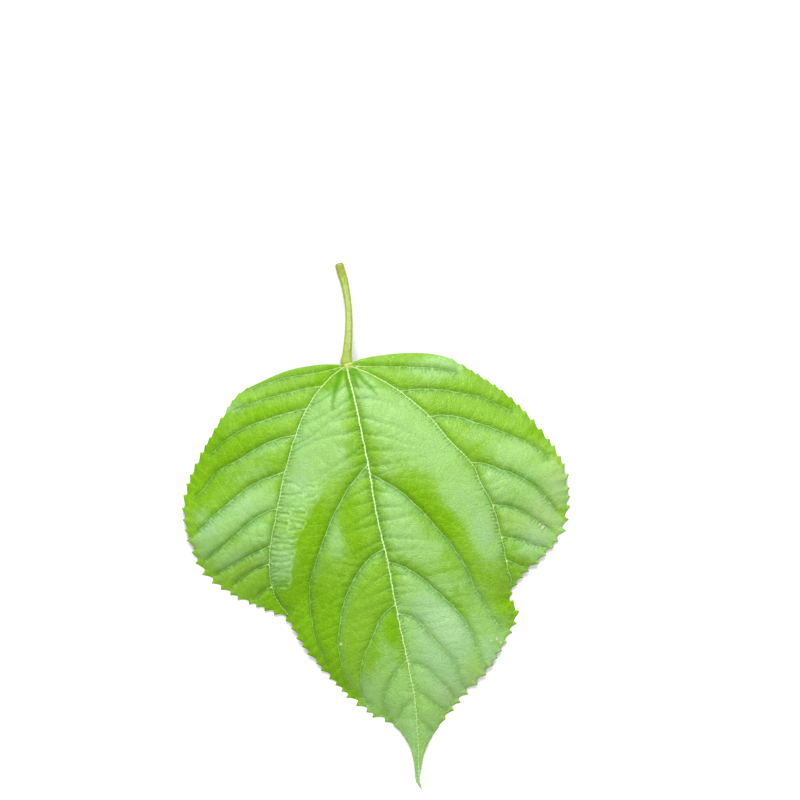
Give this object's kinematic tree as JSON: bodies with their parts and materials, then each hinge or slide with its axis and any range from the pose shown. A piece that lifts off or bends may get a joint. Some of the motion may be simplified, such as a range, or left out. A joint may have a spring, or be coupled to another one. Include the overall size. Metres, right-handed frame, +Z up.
{
  "type": "mulberry leaf",
  "caption": "Picked broad green leaf lying face up: heart-like toothed blade with a long drip tip, quilted between raised veins, and its stalk.",
  "frame": {"origin": "middle of the bounding box's floor, on the surface that the leaf lies on", "axes": "+Z up, out of the leaf's upper face; -Y along the leaf to its drip tip, +Y to the stalk; +X to the right of someone who looks down with the tip towards them"},
  "size_m": [0.1482, 0.2036, 0.0169],
  "materials": {
    "blade": "satin",
    "stalk": "satin"
  },
  "bodies": {
    "root": {"leaf_blade": "blade", "petiole": "stalk"}
  },
  "joints": []
}
